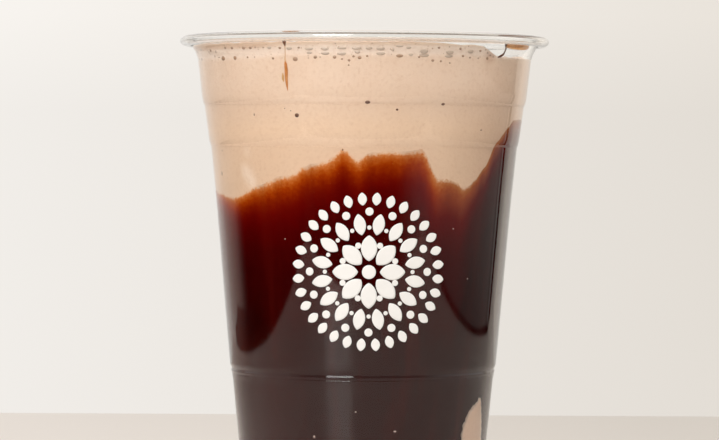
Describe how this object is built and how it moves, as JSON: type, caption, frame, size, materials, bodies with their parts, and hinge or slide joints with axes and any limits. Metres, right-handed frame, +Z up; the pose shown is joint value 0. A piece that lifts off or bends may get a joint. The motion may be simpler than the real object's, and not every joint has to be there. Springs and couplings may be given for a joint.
{
  "type": "chocolate milkshake",
  "caption": "Chocolate milkshake with a froth top and a chocolate sauce lining, in a tapered clear plastic cup with a rolled rim and ring steps.",
  "frame": {"origin": "middle of the cup's standing ring, on the surface it stands on", "axes": "+Z up along the cup's axis; -Y is the front with the printed ornament, +X is to the right"},
  "size_m": [0.098, 0.098, 0.138],
  "materials": {
    "cup": "clear, thin, glossy moulded plastic",
    "milkshake": "creamy pale brown drink with fine froth",
    "sauce": "dark, wet, glossy chocolate sauce",
    "print": "opaque white printing ink"
  },
  "bodies": {
    "root": {"cup": "cup", "milkshake": "milkshake", "sauce": "sauce"}
  },
  "joints": []
}
